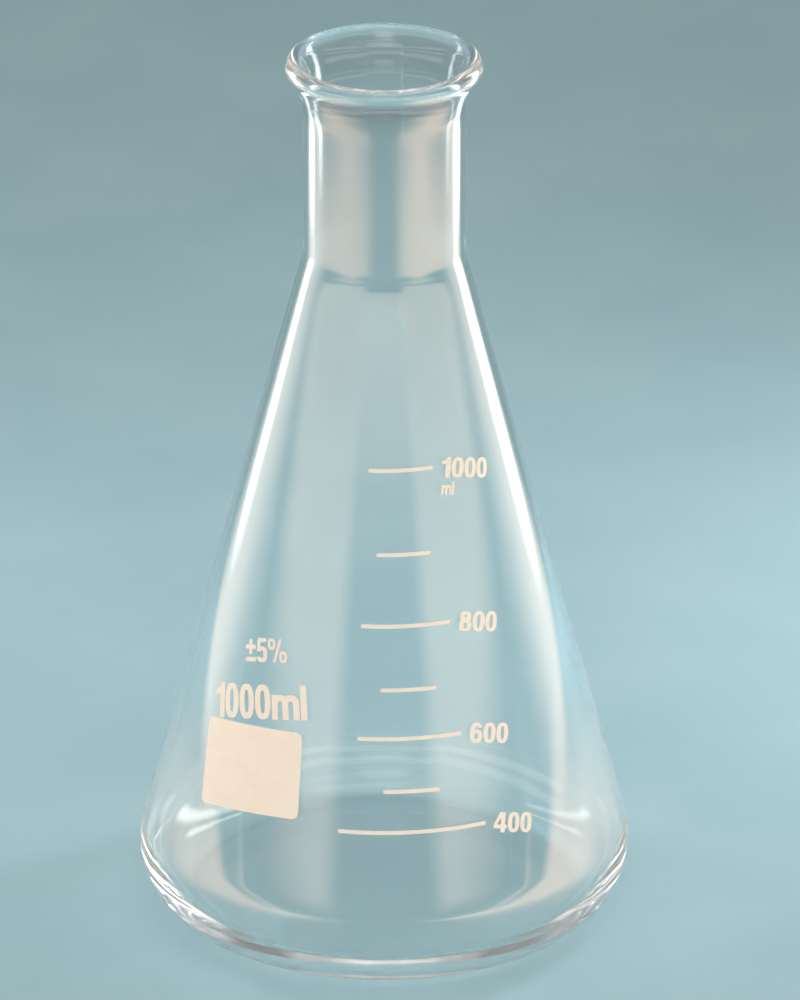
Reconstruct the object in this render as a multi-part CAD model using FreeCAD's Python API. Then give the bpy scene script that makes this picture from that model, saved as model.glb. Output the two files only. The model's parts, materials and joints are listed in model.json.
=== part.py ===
import FreeCAD, Part
import math
import os

# A conical laboratory flask of clear glass with a narrow neck, a flared rim and a fired enamel print.
# Millimetres and degrees. The axis is Z, the table is at Z = 0 and the print faces the front, along -Y.

# Glass: overall sizes
height = 232.6
body_diameter = 126.0
neck_diameter = 41.1
rim_diameter = 49.7
neck_length = 53.4          # from the corner between cone and neck up to the rim
wall = 1.8

# Glass: heel and base
heel_radius = 19.8
foot_radius = 11.7
foot_start = 39.8           # degrees below level where the heel turns into the tighter foot
inner_heel_radius = 15.0
base_thickness = 3.2
foot_ring_width = 5.0
punt_depth = 1.4            # hollow under the middle of the base

# Glass: shoulder and rim
shoulder_radius = 18.8
flare_radius = 14.8
bead_radius = 3.8
bead_end = 20.0             # degrees above level where the bead turns into the lip
lip_radius = 2.0

# Enamel print: its own sizes
print_thickness = 0.15
print_gap = 0.1             # keeps the enamel's solids from sharing a face with the glass
line_stroke = 1.0
scale_turn = 7.5            # degrees round from the front to the middle of the scale
graduations = {             # volume in ml: height above the table, length of the line
    "400": (43.6, 38.5),
    "500": (53.8, 14.6),
    "600": (66.9, 26.8),
    "700": (79.0, 14.3),
    "800": (94.8, 23.1),
    "900": (112.5, 14.0),
    "1000": (133.3, 16.6),
}
numbered = ("400", "600", "800", "1000")
numeral_height = 5.2
numeral_lean = -5.0         # degrees that the numbers lean on the flat sheet
numeral_gap = 2.2           # from the end of a line to its number
numeral_drop = 0.1          # from the line down to the middle of its number
unit_height = 3.4
unit_gap = 1.0              # from the top number down to its unit

# Enamel print: the panel beside the scale
spot_width = 31.0
spot_height = 22.3
spot_corner = 1.8
spot_lean = -3.0            # degrees that the spot leans on the flat sheet
spot_turn = -40.3           # degrees round from the front to the middle of the spot
spot_up = 48.5              # from the table up the slope to the foot of the spot
capacity_height = 8.9
capacity_turn = -40.9       # degrees, as for the spot
capacity_gap = 1.7          # from the spot up to the capacity
tolerance_height = 6.2
tolerance_turn = -41.0      # degrees, as for the spot
tolerance_gap = 5.8         # from the capacity up to the tolerance
panel_lean = 3.5            # degrees that both words over the spot lean on the flat sheet

# Letter shapes, as shares of the letter's height
stroke_share = 0.19
numeral_share = 0.68        # width of a nought in the scale
panel_share = 0.56          # width of a nought over the spot
arch_share = 0.11           # inside width of an arch of the m and of a ring of the percent sign
plus_share = 0.30           # from the middle of the plus sign to its ends
space_share = 0.07
small_share = 0.72          # height of an m against an l
corner_share = 0.46         # how round the corners of a ring are

# Values that follow from the sizes above
neck_radius = neck_diameter / 2
bore_radius = neck_radius - wall
rim_radius = rim_diameter / 2
corner_height = height - neck_length
foot_angle = math.radians(-foot_start)
bead_angle = math.radians(bead_end)
quarter = math.pi / 2
upright = FreeCAD.Vector(0, 0, 1)


def step(point, length, angle):
    return (point[0] + length * math.cos(angle), point[1] + length * math.sin(angle))


def vector(point):
    return FreeCAD.Vector(point[0], 0, point[1])


def line(start, end):
    return Part.LineSegment(vector(start), vector(end)).toShape()


def arc(centre, radius, start, end):
    points = [vector(step(centre, radius, a)) for a in (start, (start + end) / 2, end)]
    return Part.Arc(*points).toShape()


def tangent_height(dx, reach, level):
    # height of a flare's centre that lies dx and reach away from the round it runs into
    return level - math.sqrt(reach ** 2 - dx ** 2)


# The cone is the line from the corner at the neck that just touches the heel's round
heel_height = foot_radius - (heel_radius - foot_radius) * math.sin(foot_angle)
heel_centre = (body_diameter / 2 - heel_radius, heel_height)
foot_centre = step(heel_centre, heel_radius - foot_radius, foot_angle)
corner = (neck_radius, corner_height)
corner_reach = math.dist(corner, heel_centre)
corner_angle = math.atan2(corner[1] - heel_centre[1], corner[0] - heel_centre[0])
slope = corner_angle - math.acos(heel_radius / corner_reach)
apex_height = corner_height + neck_radius / math.tan(slope)
slant = apex_height / math.cos(slope)


def cone_radius(z):
    return (apex_height - z) * math.tan(slope)


def glass_body():
    # base and heel
    ring_outer = foot_centre[0]
    ring_inner = ring_outer - foot_ring_width
    dome_radius = (ring_inner ** 2 + punt_depth ** 2) / (2 * punt_depth)
    dome_centre = (0, punt_depth - dome_radius)
    dome_edge = math.atan2(-dome_centre[1], ring_inner)
    inner_dome = dome_radius + base_thickness

    # inside of the heel: a round that touches both the inner cone and the inner dome
    cone_distance = neck_radius * math.cos(slope) + corner_height * math.sin(slope)
    inner_reach = inner_dome + inner_heel_radius
    inner_distance = cone_distance - wall - inner_heel_radius - dome_centre[1] * math.sin(slope)
    inner_angle = slope + math.acos(inner_distance / inner_reach)
    inner_heel = step(dome_centre, inner_reach, inner_angle)

    # shoulder and rim
    shoulder_height = corner_height + shoulder_radius * math.tan(slope / 2)
    shoulder = (neck_radius + shoulder_radius, shoulder_height)
    lip_centre_height = height - lip_radius
    bead_step = bead_radius - lip_radius
    bead = (rim_radius - bead_radius, lip_centre_height - bead_step * math.sin(bead_angle))
    lip = step(bead, bead_step, bead_angle)
    flare_axis = neck_radius + flare_radius
    flare = (flare_axis, tangent_height(flare_axis - bead[0], flare_radius + bead_radius, bead[1]))
    inner_flare_radius = flare_radius + wall
    inner_reach_up = inner_flare_radius - lip_radius
    inner_flare = (flare_axis, tangent_height(flare_axis - lip[0], inner_reach_up, lip[1]))
    flare_end = math.atan2(bead[1] - flare[1], bead[0] - flare[0])
    inner_end = math.atan2(lip[1] - inner_flare[1], lip[0] - inner_flare[0])

    inner_shoulder_radius = shoulder_radius + wall
    heel_top = step(heel_centre, heel_radius, slope)
    inner_heel_top = step(inner_heel, inner_heel_radius, slope)
    shoulder_foot = step(shoulder, shoulder_radius, math.pi + slope)
    inner_shoulder_foot = step(shoulder, inner_shoulder_radius, math.pi + slope)
    edges = [
        arc(dome_centre, dome_radius, quarter, dome_edge),
        line((ring_inner, 0), (ring_outer, 0)),
        arc(foot_centre, foot_radius, -quarter, foot_angle),
        arc(heel_centre, heel_radius, foot_angle, slope),
        line(heel_top, shoulder_foot),
        arc(shoulder, shoulder_radius, math.pi + slope, math.pi),
        line((neck_radius, shoulder_height), (neck_radius, flare[1])),
        arc(flare, flare_radius, math.pi, flare_end),
        arc(bead, bead_radius, flare_end - math.pi, bead_angle),
        arc(lip, lip_radius, bead_angle, inner_end),
        arc(inner_flare, inner_flare_radius, inner_end, math.pi),
        line((bore_radius, inner_flare[1]), (bore_radius, shoulder_height)),
        arc(shoulder, inner_shoulder_radius, math.pi, math.pi + slope),
        line(inner_shoulder_foot, inner_heel_top),
        arc(inner_heel, inner_heel_radius, slope, inner_angle - math.pi),
        arc(dome_centre, inner_dome, inner_angle, quarter),
        line((0, dome_centre[1] + inner_dome), (0, punt_depth)),
    ]
    return revolved(edges, 360)


def revolved(edges, turn):
    face = Part.Face(Part.Wire(Part.__sortEdges__(edges)))
    return face.revolve(FreeCAD.Vector(), upright, turn)


def skin_band(low, high, turn):
    # a band of enamel on the cone, from the height low to the height high, turned on from the +X side
    inner = [step((cone_radius(z), z), print_gap, slope) for z in (low, high)]
    outer = [step(point, print_thickness, slope) for point in inner]
    corners = [inner[0], outer[0], outer[1], inner[1]]
    edges = [line(corners[i - 1], corners[i]) for i in range(len(corners))]
    return revolved(edges, turn)


def graduation(z, length):
    turn = math.degrees(length / cone_radius(z))
    rise = line_stroke / 2 * math.cos(slope)
    band = skin_band(z - rise, z + rise, turn)
    band.rotate(FreeCAD.Vector(), upright, scale_turn - 90 - turn / 2)
    return band


def flat_point(turn, z):
    # where a point of the cone lies on the flat sheet: across from the front line and up the slope
    radius = (apex_height - z) / math.cos(slope)
    spread = turn * math.sin(slope)
    return radius * math.sin(spread), slant - radius * math.cos(spread)


def across_at(turn, up):
    # how far across the flat sheet a place up the slope lies when it is turned round from the front
    return (slant - up) * math.tan(math.radians(turn) * math.sin(slope))


def on_cone(across, up):
    # the place on the cone of a point of the flat sheet, with X along the sheet and Z out of the glass
    radius = math.hypot(across, slant - up)
    spread = math.atan2(across, slant - up)
    turn = spread / math.sin(slope)
    z = apex_height - radius * math.cos(slope)
    r = radius * math.sin(slope)
    spot = FreeCAD.Vector(r * math.sin(turn), -r * math.cos(turn), z)
    level = FreeCAD.Vector(math.cos(turn), math.sin(turn), 0)
    run = math.cos(slope)
    out = FreeCAD.Vector(run * math.sin(turn), -run * math.cos(turn), math.sin(slope))
    frame = FreeCAD.Rotation(level, out.cross(level), out, "ZXY")
    twist = FreeCAD.Rotation(upright, -math.degrees(spread))
    return FreeCAD.Placement(spot, frame.multiply(twist))


def printed(faces, across, up, depth):
    # ink of the flat faces, pressed onto the cone round the given place of the sheet
    stamp = None
    for face in faces:
        block = face.extrude(FreeCAD.Vector(0, 0, 2 * depth))
        stamp = block if stamp is None else stamp.fuse(block)
    stamp.translate(FreeCAD.Vector(0, 0, -depth))
    stamp.Placement = on_cone(across, up).multiply(stamp.Placement)
    return stamp.common(print_skin)


def polygon(points):
    corners = [FreeCAD.Vector(x, y, 0) for x, y in points]
    return Part.Face(Part.makePolygon(corners + corners[:1]))


def bar(x0, y0, x1, y1):
    return polygon([(x0, y0), (x1, y0), (x1, y1), (x0, y1)])


def pad(x0, y0, x1, y1, radius):
    # a rectangle with rounded corners
    edges = []
    places = [(x1 - radius, y0 + radius), (x1 - radius, y1 - radius), (x0 + radius, y1 - radius),
              (x0 + radius, y0 + radius)]
    ends = []
    for n, (x, y) in enumerate(places):
        turns = [(n - 1 + share) * quarter for share in (0, 0.5, 1)]
        points = [FreeCAD.Vector(x + radius * math.cos(a), y + radius * math.sin(a), 0) for a in turns]
        edges.append(Part.Arc(*points).toShape())
        ends.append((points[0], points[2]))
    for n in range(len(ends)):
        edges.append(Part.LineSegment(ends[n - 1][1], ends[n][0]).toShape())
    return Part.Face(Part.Wire(Part.__sortEdges__(edges)))


def ring(x0, y0, x1, y1, stroke=stroke_share):
    # a rounded ring with one stroke all round
    width = min(x1 - x0, y1 - y0)
    inner_radius = corner_share * (width - 2 * stroke)
    inner = pad(x0 + stroke, y0 + stroke, x1 - stroke, y1 - stroke, inner_radius)
    return pad(x0, y0, x1, y1, corner_share * width).cut(inner)


def zero(width):
    return [ring(0, 0, width, 1)]


def one(width):
    stem = width - 1.3 * stroke_share
    right = width - 0.05
    return [polygon([(stem, 0), (right, 0), (right, 1), (stem + 0.05, 1), (0.12, 0.82), (0.12, 0.63),
                     (stem, 0.74)])]


def four(width):
    right = width - 0.05
    left = right - stroke_share
    low = 0.21
    high = low + stroke_share
    end = width + 0.04
    blank = polygon([(left, high), (left, 0.74), (0.17, high)])
    sheet = polygon([(left, 0), (right, 0), (right, low), (end, low), (end, high), (right, high), (right, 1),
                     (left - 0.04, 1), (0, high - 0.02), (0, low), (left, low)])
    return [sheet.cut(blank)]


def five(width):
    bowl = ring(0, 0, width, 0.64).cut(bar(-0.1, stroke_share + 0.02, width / 2, 0.47))
    stem = bar(0.05, 0.40, 0.05 + stroke_share, 1)
    top = bar(0.05, 1 - stroke_share, width - 0.04, 1)
    return [bowl, stem, top]


def six(width):
    bowl = ring(0, 0, width, 0.62)
    tail = ring(0, 0, width, 1).cut(bar(width / 2, 0.1, width + 0.1, 0.74))
    return [tail, bowl]


def eight(width):
    waist = 0.43
    return [ring(0, 0, width, waist + stroke_share), ring(0.03, waist, width - 0.03, 1)]


def letter_m(width):
    arch_width = arch_share + 2 * stroke_share
    window = bar(-0.1, 0, 2 * arch_width, small_share)
    arches = []
    for left in (0, arch_width - stroke_share):
        arches.append(ring(left, -small_share, left + arch_width, small_share).common(window))
    return arches + [bar(0, 0, stroke_share, small_share)]


def letter_l(width):
    return [bar(0, 0, stroke_share, 1)]


def percent(width):
    stroke = 0.7 * stroke_share
    small = arch_share + 2 * stroke
    slash = polygon([(0.22, 0), (0.34, 0), (0.72, 1), (0.60, 1)])
    right = 0.94 - small
    return [ring(0, 0.52, small, 1, stroke), ring(right, 0, 0.94, 0.48, stroke), slash]


def plus_minus(width):
    middle = 0.62
    half = stroke_share / 2.4
    return [bar(0, middle - half, width, middle + half),
            bar(width / 2 - half, middle - plus_share, width / 2 + half, middle + plus_share),
            bar(0, 0.02, width, 0.02 + 2 * half)]


letters = {"0": zero, "1": one, "4": four, "5": five, "6": six, "8": eight, "m": letter_m, "l": letter_l,
           "%": percent, "±": plus_minus}


def written(text, share):
    # the word's letters one after another from X = 0, one unit high, with the width of the whole word
    placed = []
    x = 0
    for letter in text:
        faces = letters[letter](share)
        box = Part.Compound(faces).BoundBox
        placed.append((faces, x - box.XMin, box))
        x += box.XLength + space_share
    return placed, x - space_share


def word(text, letter_height, share, lean, start):
    # each letter is pressed on at its own middle, so that the word bends round the cone
    placed = written(text, share)[0]
    run = math.radians(lean)
    solids = []
    for faces, shift, box in placed:
        middle = FreeCAD.Vector(box.Center.x, 0.5, 0)
        sized = [face.translated(-middle).scaled(letter_height) for face in faces]
        leaned = [face.rotated(FreeCAD.Vector(), upright, lean) for face in sized]
        foot = step(start, (shift + middle.x) * letter_height, run)
        across, up = step(foot, letter_height / 2, run + quarter)
        solids += printed(leaned, across, up, letter_height / 4).Solids
    return Part.Compound(solids)


def panel_word(text, letter_height, turn, foot):
    # a word over the spot, with its middle turned round from the front and its foot up the slope
    half = written(text, panel_share)[1] * letter_height / 2
    middle = (across_at(turn, foot + letter_height / 2), foot)
    start = step(middle, -half, math.radians(panel_lean))
    return word(text, letter_height, panel_share, panel_lean, start)


def number_place(volume):
    # left edge and foot of the number that stands at the end of its line
    z, length = graduations[volume]
    end_turn = math.radians(scale_turn) + length / 2 / cone_radius(z)
    across, up = flat_point(end_turn, z)
    return across + numeral_gap, up - numeral_drop - numeral_height / 2


def marking_spot():
    face = pad(-spot_width / 2, -spot_height / 2, spot_width / 2, spot_height / 2, spot_corner)
    face.rotate(FreeCAD.Vector(), upright, spot_lean)
    middle = spot_up + spot_height / 2
    return printed([face], across_at(spot_turn, middle), middle, spot_width / 4)


print_skin = skin_band(heel_centre[1] + heel_radius * math.sin(slope), corner_height, 360)
parts = {"glass_body": glass_body()}
for volume, (z, length) in graduations.items():
    parts[f"graduation_{volume}"] = graduation(z, length)
for volume in numbered:
    parts[f"numeral_{volume}"] = word(volume, numeral_height, numeral_share, numeral_lean, number_place(volume))
top_left, top_foot = number_place(numbered[-1])
unit_start = (top_left, top_foot - unit_gap - unit_height)
parts["unit_mark"] = word("ml", unit_height, numeral_share, numeral_lean, unit_start)
capacity_up = spot_up + spot_height + capacity_gap
tolerance_up = capacity_up + capacity_height + tolerance_gap
parts["marking_spot"] = marking_spot()
parts["capacity_mark"] = panel_word("1000ml", capacity_height, capacity_turn, capacity_up)
parts["tolerance_mark"] = panel_word("±5%", tolerance_height, tolerance_turn, tolerance_up)

os.makedirs("parts", exist_ok=True)
for name, shape in parts.items():
    shape.exportStep(f"parts/{name}.step")
    print(name, "solids", len(shape.Solids), "volume", round(shape.Volume, 2), "valid", shape.isValid())
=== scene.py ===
import bpy
import json
import math
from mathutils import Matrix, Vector


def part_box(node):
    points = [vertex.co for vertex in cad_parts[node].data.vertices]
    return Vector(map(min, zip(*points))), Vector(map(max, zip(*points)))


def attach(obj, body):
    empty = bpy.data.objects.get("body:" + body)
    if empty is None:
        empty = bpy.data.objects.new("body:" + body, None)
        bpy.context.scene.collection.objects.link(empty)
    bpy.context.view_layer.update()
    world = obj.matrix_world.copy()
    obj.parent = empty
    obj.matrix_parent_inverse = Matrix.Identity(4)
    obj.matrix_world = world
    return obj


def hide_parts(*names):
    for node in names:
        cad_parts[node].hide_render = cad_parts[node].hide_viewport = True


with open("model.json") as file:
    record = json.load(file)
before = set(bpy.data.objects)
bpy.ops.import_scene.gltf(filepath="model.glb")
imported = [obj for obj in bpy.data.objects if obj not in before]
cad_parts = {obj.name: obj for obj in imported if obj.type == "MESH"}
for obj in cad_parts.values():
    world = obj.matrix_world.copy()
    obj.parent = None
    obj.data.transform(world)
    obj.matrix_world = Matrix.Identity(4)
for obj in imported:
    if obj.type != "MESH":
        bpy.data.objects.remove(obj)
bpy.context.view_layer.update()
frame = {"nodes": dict(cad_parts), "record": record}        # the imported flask: one glass body and its fifteen printed marks
mm = 0.001
quarter = math.pi / 2       # of a turn
mergeReach = 0.0001 * mm    # points nearer than this are one point
print("frame loaded:", len(frame["nodes"]), "nodes")


def linearColour(hexColour):
    # sRGB hex to the linear values that Blender's sockets take
    shares = [int(hexColour[place:place + 2], 16) / 255 for place in (1, 3, 5)]
    return [s / 12.92 if s <= 0.04045 else ((s + 0.055) / 1.055) ** 2.4 for s in shares] + [1]


def addNode(tree, kind, settings=None, inputs=None):
    # inputs holds sockets to link from, or plain values
    node = tree.nodes.new(kind)
    for name, value in (settings or {}).items():
        setattr(node, name, value)
    for key, value in (inputs or {}).items():
        if isinstance(value, bpy.types.NodeSocket):
            tree.links.new(value, node.inputs[key])
        else:
            node.inputs[key].default_value = value
    return node


def newMaterial(name):
    material = bpy.data.materials.new(name)
    material.use_nodes = True
    return material, material.node_tree, material.node_tree.nodes["Principled BSDF"]


# Borosilicate glass, blown in a mould and fire polished: clear and colourless, mirror smooth,
# with faint upright streaks from the blowing that bend what is seen through it
glassLook = {
    "colour": "#FBFDFD",
    "ior": 1.473,
    "streakWidth": 5,         # mm
    "streakLength": 90,       # mm
    "streakDepth": 0.006,     # mm
    "hazeStart": 0.55,        # of the streak's height
    "hazeFull": 0.8,
    "haze": 0.02,             # roughness on the streaks' crests
}


def makeGlass():
    material, tree, shader = newMaterial("blown borosilicate glass")
    place = addNode(tree, "ShaderNodeTexCoord").outputs["Object"]
    across = 1 / (glassLook["streakWidth"] * mm)
    upright = 1 / (glassLook["streakLength"] * mm)
    stretched = addNode(tree, "ShaderNodeMapping", inputs={
        "Vector": place, "Scale": (across, across, upright)}).outputs[0]
    streaks = addNode(tree, "ShaderNodeTexNoise", inputs={
        "Vector": stretched, "Scale": 1, "Detail": 2}).outputs["Fac"]
    bump = addNode(tree, "ShaderNodeBump", inputs={
        "Height": streaks, "Distance": glassLook["streakDepth"] * mm, "Strength": 1})
    haze = addNode(tree, "ShaderNodeMapRange", inputs={
        "Value": streaks, "From Min": glassLook["hazeStart"], "From Max": glassLook["hazeFull"],
        "To Min": 0, "To Max": glassLook["haze"]})
    shader.inputs["Base Color"].default_value = linearColour(glassLook["colour"])
    shader.inputs["Transmission Weight"].default_value = 1
    shader.inputs["IOR"].default_value = glassLook["ior"]
    tree.links.new(haze.outputs[0], shader.inputs["Roughness"])
    tree.links.new(bump.outputs[0], shader.inputs["Normal"])
    return material


# Screen-printed enamel, fired on: cream, dense and a little matt, with a faint cloud in its tone
# and the fine grain that the screen's mesh leaves
enamelLook = {
    "cream": "#FEF1E4",
    "thin": "#FBEDDE",
    "thinEnd": 0.3,           # of the cloud's height
    "creamStart": 0.6,
    "ior": 1.5,
    "cloud": 4,               # mm
    "grain": 0.35,            # mm
    "grainDepth": 0.01,       # mm
    "smoothest": 0.38,        # roughness
    "roughest": 0.55,
}


def makeEnamel():
    material, tree, shader = newMaterial("fired screen-printed enamel")
    place = addNode(tree, "ShaderNodeTexCoord").outputs["Object"]
    cloud = addNode(tree, "ShaderNodeTexNoise", inputs={
        "Vector": place, "Scale": 1 / (enamelLook["cloud"] * mm), "Detail": 3}).outputs["Fac"]
    grain = addNode(tree, "ShaderNodeTexNoise", inputs={
        "Vector": place, "Scale": 1 / (enamelLook["grain"] * mm), "Detail": 2}).outputs["Fac"]
    tone = addNode(tree, "ShaderNodeValToRGB", inputs={"Fac": cloud})
    thin, cream = tone.color_ramp.elements
    thin.position = enamelLook["thinEnd"]
    thin.color = linearColour(enamelLook["thin"])
    cream.position = enamelLook["creamStart"]
    cream.color = linearColour(enamelLook["cream"])
    satin = addNode(tree, "ShaderNodeMapRange", inputs={
        "Value": grain, "To Min": enamelLook["smoothest"], "To Max": enamelLook["roughest"]})
    bump = addNode(tree, "ShaderNodeBump", inputs={
        "Height": grain, "Distance": enamelLook["grainDepth"] * mm, "Strength": 1})
    tree.links.new(tone.outputs[0], shader.inputs["Base Color"])
    tree.links.new(satin.outputs[0], shader.inputs["Roughness"])
    tree.links.new(bump.outputs[0], shader.inputs["Normal"])
    shader.inputs["IOR"].default_value = enamelLook["ior"]
    return material


glass = makeGlass()
enamel = makeEnamel()
print("materials made:", glass.name, "and", enamel.name)


def newTree(name, sizes):
    # a Geometry Nodes tree with named inputs, and the sockets of its group input and output
    tree = bpy.data.node_groups.new(name, "GeometryNodeTree")
    for label, kind in sizes:
        tree.interface.new_socket(label, in_out="INPUT", socket_type="NodeSocket" + kind)
    tree.interface.new_socket("Geometry", in_out="OUTPUT", socket_type="NodeSocketGeometry")
    return tree, tree.nodes.new("NodeGroupInput").outputs, tree.nodes.new("NodeGroupOutput").inputs


def drawCurve(name, loops, closed):
    # outlines as one curve; each point is x, y, z and a share that the trees read as the point's radius
    curve = bpy.data.curves.new(name, "CURVE")
    curve.dimensions = "3D"
    for loop in loops:
        spline = curve.splines.new("POLY")
        spline.points.add(len(loop) - 1)
        spline.use_cyclic_u = closed
        for point, (x, y, z, share) in zip(spline.points, loop):
            point.co = (x * mm, y * mm, z * mm, 1)
            point.radius = share
    drawn = bpy.data.objects.new(name, curve)
    bpy.context.scene.collection.objects.link(drawn)
    return drawn


def meshFromTree(name, tree, values):
    # runs the tree once and keeps its result as a plain mesh
    empty = bpy.data.meshes.new("empty")
    piece = bpy.data.objects.new(name, empty)
    bpy.context.scene.collection.objects.link(piece)
    modifier = piece.modifiers.new(tree.name, "NODES")
    modifier.node_group = tree
    for socket in tree.interface.items_tree:
        if socket.name in values:
            modifier[socket.identifier] = values[socket.name]
    evaluated = piece.evaluated_get(bpy.context.evaluated_depsgraph_get())
    mesh = bpy.data.meshes.new_from_object(evaluated)
    piece.modifiers.remove(modifier)
    piece.data = mesh
    mesh.name = name
    bpy.data.meshes.remove(empty)
    return piece


# The vessel, in mm and degrees. The height, the width, the neck and the bore come from the frame
glassLow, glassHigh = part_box("glass_body")
mountSizes = {mount["name"]: mount["dims"] for mount in frame["record"]["mounts"]}
vessel = {
    "height": glassHigh.z / mm,
    "bodyRadius": min(glassHigh.x, -glassLow.y) / mm,
    "neckRadius": mountSizes["neck_clamp_zone"]["r_mm"],
    "boreRadius": mountSizes["mouth"]["r_mm"],
    "rimRadius": 24.85,
    "neckLength": 53.4,       # from the corner between cone and neck up to the rim
    "heelRadius": 19.8,
    "footRadius": 11.7,
    "footStart": 39.8,        # below level, where the heel turns into the tighter foot
    "innerHeelRadius": 15,
    "baseThickness": 3.2,
    "footRingWidth": 5,
    "puntDepth": 1.4,         # hollow under the middle of the base
    "shoulderRadius": 18.8,
    "flareRadius": 14.8,
    "beadRadius": 3.8,
    "beadEnd": 20,            # above level, where the bead turns into the lip
    "lipRadius": 2,
    "stepsAround": 256,
    "pointSpacing": 4,        # along straight stretches and wide rounds
    "pointTurn": 5,           # degrees, along tight rounds
    "leastSteps": 4,          # along any round
    "waveHeight": 0.1,        # the blown inside wanders by half of this either way
    "waveLength": 35,
    "waveFade": 20,           # the wandering dies out towards the lip and the middle of the base
    "seed": 7,
}
wall = vessel["neckRadius"] - vessel["boreRadius"]


def stepFrom(point, length, angle):
    return point[0] + length * math.cos(angle), point[1] + length * math.sin(angle)


def arcPoints(centre, radius, start, end):
    # a round's points, one for each point turn, or for each point spacing where the round is wide
    turn = abs(end - start)
    turns = round(math.degrees(turn) / vessel["pointTurn"])
    stretches = round(radius * turn / vessel["pointSpacing"])
    count = max(vessel["leastSteps"], turns, stretches)
    return [stepFrom(centre, radius, start + (end - start) * n / count) for n in range(count + 1)]


def spaced(points):
    # fills straight stretches with points, so that the wall can wander along them
    filled = points[:1]
    for end in points[1:]:
        start = filled[-1]
        count = math.ceil(math.dist(start, end) / vessel["pointSpacing"])
        for n in range(1, count + 1):
            share = n / count
            filled.append((start[0] + (end[0] - start[0]) * share, start[1] + (end[1] - start[1]) * share))
    return filled


# The cone is the line from the corner at the neck that just touches the heel's round.
# Centres of the section's rounds are (radius, height)
cornerHeight = vessel["height"] - vessel["neckLength"]
footAngle = math.radians(-vessel["footStart"])
heelStep = vessel["heelRadius"] - vessel["footRadius"]
heelCentre = (vessel["bodyRadius"] - vessel["heelRadius"],
              vessel["footRadius"] - heelStep * math.sin(footAngle))
cornerReach = math.dist((vessel["neckRadius"], cornerHeight), heelCentre)
cornerAngle = math.atan2(cornerHeight - heelCentre[1], vessel["neckRadius"] - heelCentre[0])
slope = cornerAngle - math.acos(vessel["heelRadius"] / cornerReach)
apexHeight = cornerHeight + vessel["neckRadius"] / math.tan(slope)
slant = apexHeight / math.cos(slope)

footCentre = stepFrom(heelCentre, heelStep, footAngle)
ringInner = footCentre[0] - vessel["footRingWidth"]
domeRadius = (ringInner ** 2 + vessel["puntDepth"] ** 2) / (2 * vessel["puntDepth"])
domeCentre = (0, vessel["puntDepth"] - domeRadius)
shoulderCentre = (vessel["neckRadius"] + vessel["shoulderRadius"],
                  cornerHeight + vessel["shoulderRadius"] * math.tan(slope / 2))
beadAngle = math.radians(vessel["beadEnd"])
beadStep = vessel["beadRadius"] - vessel["lipRadius"]
beadCentre = (vessel["rimRadius"] - vessel["beadRadius"],
              vessel["height"] - vessel["lipRadius"] - beadStep * math.sin(beadAngle))
lipCentre = stepFrom(beadCentre, beadStep, beadAngle)
flareAxis = vessel["neckRadius"] + vessel["flareRadius"]


def outsideProfile():
    # from the middle of the base, round the heel and up to the rim
    domeEdge = math.atan2(-domeCentre[1], ringInner)
    flareReach = vessel["flareRadius"] + vessel["beadRadius"]
    flareDrop = math.sqrt(flareReach ** 2 - (flareAxis - beadCentre[0]) ** 2)
    flareCentre = (flareAxis, beadCentre[1] - flareDrop)
    flareEnd = math.atan2(beadCentre[1] - flareCentre[1], beadCentre[0] - flareCentre[0])
    outside = arcPoints(domeCentre, domeRadius, quarter, domeEdge)
    outside += arcPoints(footCentre, vessel["footRadius"], -quarter, footAngle)
    outside += arcPoints(heelCentre, vessel["heelRadius"], footAngle, slope)
    outside += arcPoints(shoulderCentre, vessel["shoulderRadius"], math.pi + slope, math.pi)
    outside += arcPoints(flareCentre, vessel["flareRadius"], math.pi, flareEnd)
    outside += arcPoints(beadCentre, vessel["beadRadius"], flareEnd - math.pi, beadAngle)
    return outside


def insideProfile():
    # over the lip and down the inside to the middle of the base
    innerFlareRadius = vessel["flareRadius"] + wall
    innerReach = innerFlareRadius - vessel["lipRadius"]
    innerDrop = math.sqrt(innerReach ** 2 - (flareAxis - lipCentre[0]) ** 2)
    innerFlare = (flareAxis, lipCentre[1] - innerDrop)
    innerEnd = math.atan2(lipCentre[1] - innerFlare[1], lipCentre[0] - innerFlare[0])
    innerDome = domeRadius + vessel["baseThickness"]
    heelRound = vessel["innerHeelRadius"]
    coneDistance = vessel["neckRadius"] * math.cos(slope) + cornerHeight * math.sin(slope)
    heelDistance = coneDistance - wall - heelRound - domeCentre[1] * math.sin(slope)
    heelAngle = slope + math.acos(heelDistance / (innerDome + heelRound))
    innerHeel = stepFrom(domeCentre, innerDome + heelRound, heelAngle)
    inside = arcPoints(lipCentre, vessel["lipRadius"], beadAngle, innerEnd)
    inside += arcPoints(innerFlare, innerFlareRadius, innerEnd, math.pi)
    inside += arcPoints(shoulderCentre, vessel["shoulderRadius"] + wall, math.pi, math.pi + slope)
    inside += arcPoints(innerHeel, heelRound, slope, heelAngle - math.pi)
    inside += arcPoints(domeCentre, innerDome, heelAngle, quarter)
    return inside


def vesselSection():
    # the whole section, with the share of the wandering that each point takes
    section = [(r, 0, z, 0) for r, z in spaced(outsideProfile())]
    for r, z in spaced(insideProfile())[1:]:
        fromLip = (vessel["height"] - z) / vessel["waveFade"]
        fromMiddle = r / vessel["waveFade"]
        section.append((r, 0, z, min(1, fromLip, fromMiddle)))
    return section


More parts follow.
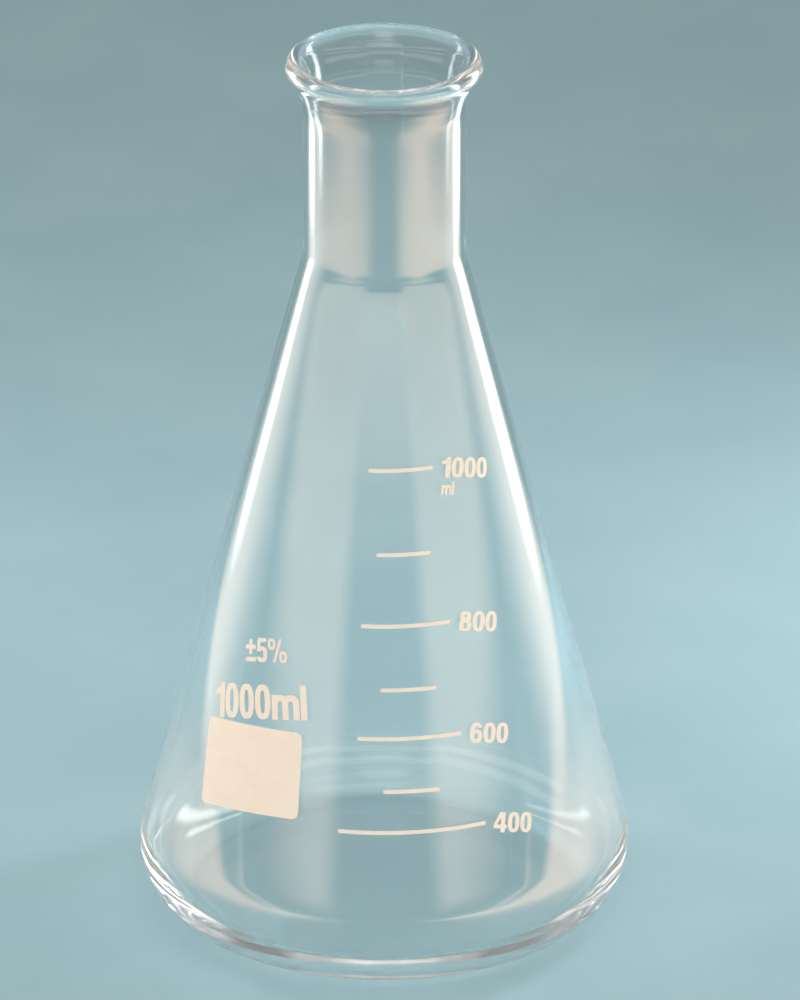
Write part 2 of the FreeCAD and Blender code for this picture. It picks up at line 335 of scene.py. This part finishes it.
def makeLatheTree():
    # turns a profile round the axis; a point's radius says how much of the wandering it takes
    tree, given, result = newTree("glass lathe", [
        ("Profile", "Object"), ("Steps around", "Int"), ("Wave height", "Float"), ("Wave length", "Float"),
        ("Seed", "Int"), ("Material", "Material")])
    profile = addNode(tree, "GeometryNodeObjectInfo", inputs={
        "Object": given["Profile"]}).outputs["Geometry"]
    rows = addNode(tree, "GeometryNodeAttributeDomainSize", {"component": "CURVE"}, {
        "Geometry": profile}).outputs["Point Count"]
    columns = addNode(tree, "ShaderNodeMath", {"operation": "ADD"}, {
        0: given["Steps around"], 1: 1}).outputs[0]
    sheet = addNode(tree, "GeometryNodeMeshGrid", inputs={
        "Vertices X": columns, "Vertices Y": rows}).outputs[0]
    index = addNode(tree, "GeometryNodeInputIndex").outputs[0]
    row = addNode(tree, "ShaderNodeMath", {"operation": "MODULO"}, {0: index, 1: rows}).outputs[0]
    columnShare = addNode(tree, "ShaderNodeMath", {"operation": "DIVIDE"}, {0: index, 1: rows}).outputs[0]
    column = addNode(tree, "ShaderNodeMath", {"operation": "FLOOR"}, {0: columnShare}).outputs[0]
    turnShare = addNode(tree, "ShaderNodeMath", {"operation": "DIVIDE"}, {
        0: column, 1: given["Steps around"]}).outputs[0]
    turn = addNode(tree, "ShaderNodeMath", {"operation": "MULTIPLY"}, {
        0: turnShare, 1: 2 * math.pi}).outputs[0]
    place = addNode(tree, "GeometryNodeInputPosition").outputs[0]
    drawn = addNode(tree, "GeometryNodeSampleIndex", {"data_type": "FLOAT_VECTOR"}, {
        "Geometry": profile, "Value": place, "Index": row}).outputs[0]
    radius = addNode(tree, "GeometryNodeInputRadius").outputs[0]
    share = addNode(tree, "GeometryNodeSampleIndex", {"data_type": "FLOAT"}, {
        "Geometry": profile, "Value": radius, "Index": row}).outputs[0]
    turned = addNode(tree, "ShaderNodeVectorRotate", {"rotation_type": "Z_AXIS"}, {
        "Vector": drawn, "Angle": turn}).outputs[0]

    # the wandering: soft noise, at most half the wave height either way, in or out from the axis
    waveScale = addNode(tree, "ShaderNodeMath", {"operation": "DIVIDE"}, {
        0: 1, 1: given["Wave length"]}).outputs[0]
    wave = addNode(tree, "ShaderNodeTexNoise", {"noise_dimensions": "4D"}, {
        "Vector": turned, "W": given["Seed"], "Scale": waveScale, "Detail": 1}).outputs["Fac"]
    level = addNode(tree, "ShaderNodeMath", {"operation": "SUBTRACT"}, {0: wave, 1: 0.5}).outputs[0]
    height = addNode(tree, "ShaderNodeMath", {"operation": "MULTIPLY"}, {
        0: level, 1: given["Wave height"]}).outputs[0]
    push = addNode(tree, "ShaderNodeMath", {"operation": "MULTIPLY"}, {0: height, 1: share}).outputs[0]
    outward = addNode(tree, "ShaderNodeCombineXYZ", inputs={"X": push}).outputs[0]
    outwardTurned = addNode(tree, "ShaderNodeVectorRotate", {"rotation_type": "Z_AXIS"}, {
        "Vector": outward, "Angle": turn}).outputs[0]
    lathed = addNode(tree, "GeometryNodeSetPosition", inputs={
        "Geometry": sheet, "Position": turned, "Offset": outwardTurned}).outputs[0]
    closed = addNode(tree, "GeometryNodeMergeByDistance", inputs={
        "Geometry": lathed, "Distance": mergeReach}).outputs[0]
    smooth = addNode(tree, "GeometryNodeSetShadeSmooth", inputs={"Geometry": closed}).outputs[0]
    real = addNode(tree, "GeometryNodeRealizeInstances", inputs={"Geometry": smooth}).outputs[0]
    dressed = addNode(tree, "GeometryNodeSetMaterial", inputs={
        "Geometry": real, "Material": given["Material"]}).outputs[0]
    tree.links.new(dressed, result["Geometry"])
    return tree


def makeVessel():
    profile = drawCurve("vesselProfile", [vesselSection()], closed=False)
    piece = meshFromTree("blown_vessel", makeLatheTree(), {
        "Profile": profile, "Steps around": vessel["stepsAround"],
        "Wave height": vessel["waveHeight"] * mm, "Wave length": vessel["waveLength"] * mm,
        "Seed": vessel["seed"], "Material": glass})
    bpy.data.objects.remove(profile)
    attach(piece, "root")
    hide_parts("glass_body")
    return piece


blownVessel = makeVessel()
print("vessel blown:", len(blownVessel.data.vertices), "points")


# The print, in mm. Its places come from the frame: each mark's CAD solid is unrolled onto the flat sheet
inkLook = {
    "thickness": 0.08,
    "sink": 0.03,             # fused into the glass
    "cornerSteps": 6,         # points round a rounded corner
    "sharpTurn": 40,          # degrees, from which an edge is shaded sharp
    "lineCorner": 0.42,
    "lineStep": 1.0,          # along a graduation line
    "lineFineness": 1,        # times that a mark's sheet is subdivided, as for the other two
    "letterCorner": 0.035,    # share of the letter's height
    "letterSpace": 0.05,      # share of the letter's height
    "letterFineness": 2,
    "numberLean": -5,         # degrees on the flat sheet, as for the next two
    "panelLean": 3.5,
    "spotLean": -3,
    "spotCorner": 1.8,
    "spotPoints": 12,         # along each side of the spot
    "spotFineness": 4,
}


def flatPoint(x, y, z):
    # a point on the cone, unrolled: across from the front line and up the slope
    turn = math.atan2(x, -y)
    reach = math.hypot(math.hypot(x, y), apexHeight - z)
    return reach * math.sin(turn * math.sin(slope)), slant - reach * math.cos(turn * math.sin(slope))


def leaned(x, y, lean):
    turn = math.radians(lean)
    return x * math.cos(turn) - y * math.sin(turn), x * math.sin(turn) + y * math.cos(turn)


def flatBox(node, lean):
    # the box round a mark on the flat sheet, in axes that lean with the mark
    solid = frame["nodes"][node].data.vertices
    points = [leaned(*flatPoint(*(vertex.co / mm)), -lean) for vertex in solid]
    across = [point[0] for point in points]
    up = [point[1] for point in points]
    return min(across), min(up), max(across), max(up)


def makePrintTree():
    # rounds the corners of flat outlines, fills and thickens them, and wraps the sheet round the cone
    tree, given, result = newTree("fired print", [
        ("Outline", "Object"), ("Apex height", "Float"), ("Half angle", "Float"), ("Corner radius", "Float"),
        ("Corner steps", "Int"), ("Thickness", "Float"), ("Sink", "Float"), ("Fineness", "Int"),
        ("Sharp turn", "Float"), ("Material", "Material")])
    outline = addNode(tree, "GeometryNodeObjectInfo", inputs={
        "Object": given["Outline"]}).outputs["Geometry"]
    share = addNode(tree, "GeometryNodeInputRadius").outputs[0]
    corner = addNode(tree, "ShaderNodeMath", {"operation": "MULTIPLY"}, {
        0: given["Corner radius"], 1: share}).outputs[0]
    rounded = addNode(tree, "GeometryNodeFilletCurve", {"mode": "POLY"}, {
        "Curve": outline, "Count": given["Corner steps"], "Radius": corner, "Limit Radius": True}).outputs[0]
    filled = addNode(tree, "GeometryNodeFillCurve", {"mode": "TRIANGLES"}, {"Curve": rounded}).outputs[0]
    fine = addNode(tree, "GeometryNodeSubdivideMesh", inputs={
        "Mesh": filled, "Level": given["Fineness"]}).outputs[0]
    raised = addNode(tree, "GeometryNodeExtrudeMesh", {"mode": "FACES"}, {
        "Mesh": fine, "Offset": (0, 0, 1), "Offset Scale": given["Thickness"],
        "Individual": False}).outputs[0]
    under = addNode(tree, "GeometryNodeFlipFaces", inputs={"Mesh": fine}).outputs[0]
    both = addNode(tree, "GeometryNodeJoinGeometry", inputs={"Geometry": raised})
    tree.links.new(under, both.inputs["Geometry"])
    closed = addNode(tree, "GeometryNodeMergeByDistance", inputs={
        "Geometry": both.outputs[0], "Distance": mergeReach}).outputs[0]

    # the wrap: a point's reach from the cone's apex stays, and its spread widens to a turn round the axis
    place = addNode(tree, "GeometryNodeInputPosition").outputs[0]
    flat = addNode(tree, "ShaderNodeSeparateXYZ", inputs={"Vector": place}).outputs
    cosine = addNode(tree, "ShaderNodeMath", {"operation": "COSINE"}, {0: given["Half angle"]}).outputs[0]
    sine = addNode(tree, "ShaderNodeMath", {"operation": "SINE"}, {0: given["Half angle"]}).outputs[0]
    length = addNode(tree, "ShaderNodeMath", {"operation": "DIVIDE"}, {
        0: given["Apex height"], 1: cosine}).outputs[0]
    down = addNode(tree, "ShaderNodeMath", {"operation": "SUBTRACT"}, {0: length, 1: flat["Y"]}).outputs[0]
    fromApex = addNode(tree, "ShaderNodeCombineXYZ", inputs={"X": flat["X"], "Y": down}).outputs[0]
    reach = addNode(tree, "ShaderNodeVectorMath", {"operation": "LENGTH"}, {0: fromApex}).outputs["Value"]
    spread = addNode(tree, "ShaderNodeMath", {"operation": "ARCTAN2"}, {0: flat["X"], 1: down}).outputs[0]
    turn = addNode(tree, "ShaderNodeMath", {"operation": "DIVIDE"}, {0: spread, 1: sine}).outputs[0]
    fromFront = addNode(tree, "ShaderNodeMath", {"operation": "SUBTRACT"}, {0: turn, 1: quarter}).outputs[0]
    out = addNode(tree, "ShaderNodeMath", {"operation": "SUBTRACT"}, {
        0: flat["Z"], 1: given["Sink"]}).outputs[0]
    below = addNode(tree, "ShaderNodeMath", {"operation": "MULTIPLY"}, {0: reach, 1: -1}).outputs[0]
    upright = addNode(tree, "ShaderNodeCombineXYZ", inputs={"X": out, "Z": below}).outputs[0]
    sloping = addNode(tree, "ShaderNodeVectorRotate", {"rotation_type": "Y_AXIS", "invert": True}, {
        "Vector": upright, "Angle": given["Half angle"]}).outputs[0]
    apex = addNode(tree, "ShaderNodeCombineXYZ", inputs={"Z": given["Apex height"]}).outputs[0]
    lifted = addNode(tree, "ShaderNodeVectorMath", {"operation": "ADD"}, {0: sloping, 1: apex}).outputs[0]
    wrapped = addNode(tree, "ShaderNodeVectorRotate", {"rotation_type": "Z_AXIS"}, {
        "Vector": lifted, "Angle": fromFront}).outputs[0]
    laid = addNode(tree, "GeometryNodeSetPosition", inputs={
        "Geometry": closed, "Position": wrapped}).outputs[0]
    bend = addNode(tree, "GeometryNodeInputMeshEdgeAngle").outputs["Unsigned Angle"]
    gentle = addNode(tree, "ShaderNodeMath", {"operation": "LESS_THAN"}, {
        0: bend, 1: given["Sharp turn"]}).outputs[0]
    smooth = addNode(tree, "GeometryNodeSetShadeSmooth", {"domain": "EDGE"}, {
        "Geometry": laid, "Shade Smooth": gentle}).outputs[0]
    real = addNode(tree, "GeometryNodeRealizeInstances", inputs={"Geometry": smooth}).outputs[0]
    dressed = addNode(tree, "GeometryNodeSetMaterial", inputs={
        "Geometry": real, "Material": given["Material"]}).outputs[0]
    tree.links.new(dressed, result["Geometry"])
    return tree


printTree = makePrintTree()


def firePrint(node, loops, cornerRadius, fineness):
    # one mark of the print, in the place of its CAD node; a loop's point is x, y and 1 where it is a corner
    drawn = [[(x, y, 0, corner) for x, y, corner in loop] for loop in loops]
    outline = drawCurve("outline", drawn, closed=True)
    piece = meshFromTree("fired_" + node, printTree, {
        "Outline": outline, "Apex height": apexHeight * mm, "Half angle": slope,
        "Corner radius": cornerRadius * mm, "Corner steps": inkLook["cornerSteps"],
        "Thickness": inkLook["thickness"] * mm, "Sink": inkLook["sink"] * mm, "Fineness": fineness,
        "Sharp turn": math.radians(inkLook["sharpTurn"]), "Material": enamel})
    bpy.data.objects.remove(outline)
    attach(piece, "root")
    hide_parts(node)


def lineOutline(node):
    # a graduation line keeps level, so on the flat sheet it bends round the cone's apex
    solid = frame["nodes"][node].data.vertices
    turns = [math.atan2(vertex.co.x, -vertex.co.y) * math.sin(slope) for vertex in solid]
    fronts = [flatPoint(0, -math.hypot(vertex.co.x, vertex.co.y) / mm, vertex.co.z / mm) for vertex in solid]
    reaches = [slant - up for across, up in fronts]
    start, end = min(turns), max(turns)
    count = math.ceil((end - start) * max(reaches) / inkLook["lineStep"])
    edge = [start + (end - start) * n / count for n in range(count + 1)]
    loop = []
    for reach, spreads in ((max(reaches), edge), (min(reaches), edge[::-1])):
        for spread in spreads:
            corner = 1 if spread in (start, end) else 0
            loop.append((reach * math.sin(spread), slant - reach * math.cos(spread), corner))
    return [loop]


for node in frame["nodes"]:
    if node.startswith("graduation_"):
        firePrint(node, lineOutline(node), inkLook["lineCorner"], inkLook["lineFineness"])
print("graduation lines fired")


def spotOutline():
    lean = inkLook["spotLean"]
    left, foot, right, top = flatBox("marking_spot", lean)
    ends = [leaned(x, y, lean) for x, y in ((left, foot), (right, foot), (right, top), (left, top))]
    count = inkLook["spotPoints"]
    loop = []
    for n, (x, y) in enumerate(ends):
        nextX, nextY = ends[(n + 1) % len(ends)]
        for place in range(count):
            share = place / count
            loop.append((x + (nextX - x) * share, y + (nextY - y) * share, 1 if place == 0 else 0))
    return [loop]


firePrint("marking_spot", spotOutline(), inkLook["spotCorner"], inkLook["spotFineness"])
print("marking spot fired")


# Letter shapes, one unit high. A loop's point is x, y and 1 where it is a corner
letterLook = {
    "stroke": 0.21,
    "levelShare": 0.8,        # of the stroke, where a round runs level
    "width": 0.6,             # of a nought
    "fullness": 2.5,          # 2 is an ellipse, more is squarer
    "smallHeight": 0.72,      # of an m
    "archWidth": 0.17,        # inside an arch of the m
}
stroke = letterLook["stroke"]
levelStroke = letterLook["levelShare"] * stroke
width = letterLook["width"]
half = width / 2


def ovalPart(centreX, centreY, halfWidth, halfHeight, start, end, count=24):
    # part of a full oval, from one angle to another in degrees
    power = 2 / letterLook["fullness"]
    loop = []
    for n in range(count + 1):
        angle = math.radians(start + (end - start) * n / count)
        run, rise = math.cos(angle), math.sin(angle)
        x = math.copysign(abs(run) ** power, run)
        y = math.copysign(abs(rise) ** power, rise)
        loop.append((centreX + halfWidth * x, centreY + halfHeight * y, 0))
    return loop


def oval(centreX, centreY, halfWidth, halfHeight):
    return ovalPart(centreX, centreY, halfWidth, halfHeight, 0, 360, count=48)[:-1]


def corners(*points):
    return [(x, y, 1) for x, y in points]


def nought():
    return [oval(half, 0.5, half, 0.5), oval(half, 0.5, half - stroke, 0.5 - levelStroke)]


def one():
    right = 0.46
    left = right - 1.1 * stroke    # a lone upright is a little stouter
    flag = 0.04
    return [corners((left, 0), (right, 0), (right, 1), (left + 0.07, 1), (left, 0.87), (flag, 0.79),
                    (flag, 0.62), (left, 0.68))]


def four():
    right = width - 0.04
    left = right - stroke
    barFoot = 0.2
    barTop = barFoot + 0.9 * stroke
    end = width + 0.05
    outside = corners((left, 0), (right, 0), (right, barFoot), (end, barFoot), (end, barTop), (right, barTop),
                      (right, 1), (left - 0.06, 1), (0, barTop + 0.01), (0, barFoot), (left, barFoot))
    return [outside, corners((left, barTop), (left, 0.75), (0.16, barTop))]


def five():
    right = width - 0.04
    middle = 0.33             # of the bowl, and its half height
    bowl = ovalPart(half, middle, half, middle, -165, 100)
    flag = corners((0.25, 0.83), (right, 0.83), (right, 1), (0.08, 1), (0.03, 0.45))
    inner = ovalPart(half, middle, half - stroke, middle - levelStroke, 140, -150)
    return [bowl + flag + inner]


def six():
    middle = 0.32             # of the bowl, and its half height
    bowl = ovalPart(half, middle, half, middle, -90, 110)
    throat = ovalPart(half, 0.5, half - stroke, 0.5 - levelStroke, 160, 40)
    back = ovalPart(half, 0.5, half, 0.5, 24, 270)
    end = corners((width - stroke - 0.01, 0.73), back[0][:2])
    hole = oval(half, middle, half - stroke, middle - levelStroke)
    return [bowl[:-1] + throat[:-1] + end + back[1:-1], hole]


def eight():
    # the outside runs round the lower bowl to the waist, and from there round the upper one
    waist = 40                # degrees from level, on either bowl
    low, high = (0.29, half, 0.29), (0.75, half - 0.03, 0.25)
    loop = ovalPart(half, *low, -180 - waist, waist) + ovalPart(half, *high, -waist, 180 + waist)
    holes = [oval(half, middle, wide - stroke, tall - 0.75 * stroke) for middle, wide, tall in (low, high)]
    return [loop] + holes


def letterM():
    top = letterLook["smallHeight"]
    arch = letterLook["archWidth"]
    pitch = arch + stroke
    spring = top - stroke - 0.1
    rise = top - 0.85 * stroke - spring
    middles = (stroke + arch / 2, stroke + pitch + arch / 2)
    outer = arch / 2 + stroke
    cross = (pitch / 2 / outer) ** (letterLook["fullness"] / 2)
    meet = math.degrees(math.acos(cross))    # where the two arches cross
    loop = corners((0, 0), (stroke, 0))
    for middle in middles:
        loop += ovalPart(middle, spring, arch / 2, rise, 180, 0, count=12)
        loop += corners((middle + arch / 2, 0), (middle + arch / 2 + stroke, 0))
    loop += ovalPart(middles[1], spring, outer, top - spring, 0, 180 - meet, count=16)
    loop += ovalPart(middles[0], spring, outer, top - spring, meet, 100, count=8)[1:]
    return [loop + corners((0, top))]


def letterL():
    return [corners((0, 0), (stroke, 0), (stroke, 1), (0, 1))]


def percent():
    ring = (0.2, 0.24)        # half width and half height
    hole = (0.075, 0.12)
    right = 0.98 - ring[0]
    loops = []
    for x, y in ((ring[0], 0.76), (right, 0.24)):
        loops += [oval(x, y, *ring), oval(x, y, *hole)]
    return loops + [corners((0.24, 0), (0.36, 0), (0.74, 1), (0.62, 1))]


def plusMinus():
    arm = stroke / 2.4        # half of a bar's thickness
    west, east = half - arm, half + arm
    low, high = 0.32, 0.92
    south, north = 0.62 - arm, 0.62 + arm
    foot = 0.02
    plus = corners((0, south), (west, south), (west, low), (east, low), (east, south), (width, south),
                   (width, north), (east, north), (east, high), (west, high), (west, north), (0, north))
    return [plus, corners((0, foot), (width, foot), (width, foot + 2 * arm), (0, foot + 2 * arm))]


letters = {"0": nought, "1": one, "4": four, "5": five, "6": six, "8": eight, "m": letterM, "l": letterL,
           "%": percent, "±": plusMinus}


def fireWord(node, text, lean):
    # the letters side by side, fitted to the box that the mark's CAD solid fills on the flat sheet
    loops = []
    x = 0
    for letter in text:
        drawn = letters[letter]()
        start = min(point[0] for loop in drawn for point in loop)
        for loop in drawn:
            loops.append([(px - start + x, py, corner) for px, py, corner in loop])
        x = max(point[0] for loop in loops for point in loop) + inkLook["letterSpace"]
    wide = x - inkLook["letterSpace"]
    left, foot, right, top = flatBox(node, lean)
    tall = top - foot
    fitted = []
    for loop in loops:
        fitted.append([(*leaned(left + px / wide * (right - left), foot + py * tall, lean), corner)
                       for px, py, corner in loop])
    firePrint(node, fitted, inkLook["letterCorner"] * tall, inkLook["letterFineness"])


scaleWords = {"numeral_400": "400", "numeral_600": "600", "numeral_800": "800", "numeral_1000": "1000",
              "unit_mark": "ml"}
panelWords = {"capacity_mark": "1000ml", "tolerance_mark": "±5%"}
for words, lean in ((scaleWords, inkLook["numberLean"]), (panelWords, inkLook["panelLean"])):
    for node, text in words.items():
        fireWord(node, text, lean)
print("numbers and units fired")


# Matt laminate bench top: pale grey-blue, without a sheen, and with a faint cloud in its tone
floorLook = {
    "pale": "#A7C7D1",
    "dim": "#A0C1CC",
    "dimEnd": 0.3,            # of the cloud's height
    "paleStart": 0.7,
    "cloud": 60,              # mm
    "roughness": 0.5,
    "sheen": 0,               # bare plastic has 0.5
    "reach": 30000,           # mm each way
    "gap": 0.05,              # mm of air under the foot ring
}


def makeFloor():
    material, tree, shader = newMaterial("matt bench laminate")
    place = addNode(tree, "ShaderNodeTexCoord").outputs["Object"]
    cloud = addNode(tree, "ShaderNodeTexNoise", inputs={
        "Vector": place, "Scale": 1 / (floorLook["cloud"] * mm), "Detail": 4}).outputs["Fac"]
    tone = addNode(tree, "ShaderNodeValToRGB", inputs={"Fac": cloud})
    dim, pale = tone.color_ramp.elements
    dim.position = floorLook["dimEnd"]
    dim.color = linearColour(floorLook["dim"])
    pale.position = floorLook["paleStart"]
    pale.color = linearColour(floorLook["pale"])
    tree.links.new(tone.outputs[0], shader.inputs["Base Color"])
    shader.inputs["Roughness"].default_value = floorLook["roughness"]
    shader.inputs["Specular IOR Level"].default_value = floorLook["sheen"]
    reach = floorLook["reach"] * mm
    level = -floorLook["gap"] * mm
    sheet = [(x, y, level) for x, y in ((-reach, -reach), (reach, -reach), (reach, reach), (-reach, reach))]
    mesh = bpy.data.meshes.new("bench")
    mesh.from_pydata(sheet, [], [(0, 1, 2, 3)])
    mesh.materials.append(material)
    floor = bpy.data.objects.new("bench", mesh)
    bpy.context.scene.collection.objects.link(floor)


# Soft boxes and cards, in metres. Place and aim are for the right, and radiance has each side that has
# such a panel, left (-1) or right (1). Size is width and height, and fade the share of each over which the
# panel dims towards its edges. A card shows only as a reflection and lights nothing
lamps = {
    "box": {"place": (1.42, -0.74, 0.3), "aim": (0, 0, 0.3), "size": (3.0, 0.56), "fade": (0.2, 0.2),
            "colour": "#FFE6CE", "radiance": {-1: 2.3, 1: 2.5}, "card": False},
    "brow": {"place": (0, -1.7, 0.5), "aim": (0, 0, 0.5), "size": (2.2, 0.5), "fade": (0.23, 0.23),
             "colour": "#FFF1E4", "radiance": {1: 2.4}, "card": False},
    "frontBox": {"place": (0, -2.2, 1.4), "aim": (0, 0, 0.15), "size": (1.4, 1.2), "fade": (0.3, 0.3),
                 "colour": "#FFF8F0", "radiance": {1: 2.0}, "card": False},
    "ceiling": {"place": (0.1, -0.2, 1.9), "aim": (0, 0, 0.1), "size": (1.5, 1.5), "fade": (0.2, 0.2),
                "colour": "#FFFBF6", "radiance": {1: 1.6}, "card": False},
    "floorCard": {"place": (0.33, -0.22, 0.004), "aim": (0.33, -0.22, 1), "size": (0.54, 0.8),
                  "fade": (0.35, 0.35), "colour": "#FFD0AE", "radiance": {-1: 6, 1: 8}, "card": True},
    "apron": {"place": (0.85, -0.75, 0.003), "aim": (0.85, -0.75, 1), "size": (1.1, 1.1),
              "fade": (0.3, 0.3), "colour": "#FFDDC0", "radiance": {-1: 3.2, 1: 3.8}, "card": True},
    "veil": {"place": (0.334, 0.135, 0.13), "aim": (0, 0, 0.13), "size": (0.42, 0.26),
             "fade": (0.5, 0.06), "colour": "#FFE9D6", "radiance": {-1: 4.5, 1: 5.2}, "card": True},
    "narrowStrip": {"place": (0.3, 0.22, 0.24), "aim": (0, 0, 0.2), "size": (0.1, 0.46),
                    "fade": (0.5, 0.1), "colour": "#FFFFFF", "radiance": {-1: 5.5}, "card": False},
    "wideStrip": {"place": (0.3, 0.22, 0.24), "aim": (0, 0, 0.2), "size": (0.14, 0.46),
                  "fade": (0.5, 0.1), "colour": "#FFFFFF", "radiance": {1: 10}, "card": False},
}


def fadeToEdges(light, fade):
    # the panel, which runs from 0 to 1 each way, is brightest in its middle, as a lamp behind cloth is
    light.use_nodes = True
    tree = light.node_tree
    place = addNode(tree, "ShaderNodeNewGeometry").outputs["Parametric"]
    sides = addNode(tree, "ShaderNodeSeparateXYZ", inputs={"Vector": place}).outputs
    level = 1
    for side, reach in zip(("X", "Y"), fade):
        fromEdge = addNode(tree, "ShaderNodeMath", {"operation": "PINGPONG"}, {
            0: sides[side], 1: 0.5}).outputs[0]
        share = addNode(tree, "ShaderNodeMapRange", {"interpolation_type": "SMOOTHSTEP"}, {
            "Value": fromEdge, "From Min": 0, "From Max": reach}).outputs[0]
        level = addNode(tree, "ShaderNodeMath", {"operation": "MULTIPLY"}, {0: level, 1: share}).outputs[0]
    tree.links.new(level, tree.nodes["Emission"].inputs["Strength"])


def makeLamp(name, look, side, radiance):
    light = bpy.data.lights.new(name, "AREA")
    light.shape = "RECTANGLE"
    light.size, light.size_y = look["size"]
    light.energy = radiance * math.pi * light.size * light.size_y
    light.color = linearColour(look["colour"])[:3]
    fadeToEdges(light, look["fade"])
    lamp = bpy.data.objects.new(name, light)
    mirror = Vector((side, 1, 1))
    place = Vector(look["place"]) * mirror
    lamp.location = place
    lamp.rotation_euler = (Vector(look["aim"]) * mirror - place).to_track_quat("-Z", "Y").to_euler()
    lamp.visible_camera = False
    lamp.visible_diffuse = not look["card"]
    lamp.visible_transmission = not look["card"]
    bpy.context.scene.collection.objects.link(lamp)


# The room: dim at the level of the bench and light overhead
roomLook = {"level": "#9FB0B6", "overhead": "#F4EFE8", "strength": 0.55}


def makeRoom():
    world = bpy.data.worlds.new("room")
    bpy.context.scene.world = world
    world.use_nodes = True
    tree = world.node_tree
    place = addNode(tree, "ShaderNodeTexCoord").outputs["Generated"]
    height = addNode(tree, "ShaderNodeSeparateXYZ", inputs={"Vector": place}).outputs["Z"]
    tone = addNode(tree, "ShaderNodeValToRGB", inputs={"Fac": height})
    tone.color_ramp.elements[0].color = linearColour(roomLook["level"])
    tone.color_ramp.elements[1].color = linearColour(roomLook["overhead"])
    background = tree.nodes["Background"]
    background.inputs["Strength"].default_value = roomLook["strength"]
    tree.links.new(tone.outputs[0], background.inputs["Color"])


# The camera stands in front of the scale and looks down on it; pixels are those of an image 800 by 1000
view = {
    "distance": 2.93,         # metres in front of the axis
    "height": 1.41496,        # metres above the bench
    "pitch": 0.4188,          # radians down
    "focal": 12570.14,        # pixels
    "axisPixel": 384.2,       # where the flask's axis stands in the image
    "imageSize": (800, 1000),
    "sensor": 36,             # mm, along the image's long side
}


def makeCamera():
    wide, tall = view["imageSize"]
    lens = bpy.data.cameras.new("camera")
    lens.sensor_width = view["sensor"]
    lens.lens = view["focal"] / tall * view["sensor"]
    lens.shift_x = (wide / 2 - view["axisPixel"]) / tall
    camera = bpy.data.objects.new("camera", lens)
    camera.location = (0, -view["distance"], view["height"])
    camera.rotation_euler = (quarter - view["pitch"], 0, 0)
    bpy.context.scene.collection.objects.link(camera)
    bpy.context.scene.camera = camera


makeFloor()
for name, look in lamps.items():
    for side, radiance in look["radiance"].items():
        makeLamp(name, look, side, radiance)
makeRoom()
makeCamera()
bpy.context.scene.view_settings.view_transform = "Standard"
bounces = 160                 # light runs round inside the thick heel and rim many times
cycles = bpy.context.scene.cycles
cycles.blur_glossy = 0        # light that came through the glass isn't blurred away
cycles.max_bounces = bounces
cycles.glossy_bounces = bounces
cycles.transmission_bounces = bounces
print("bench, lamps and camera set")
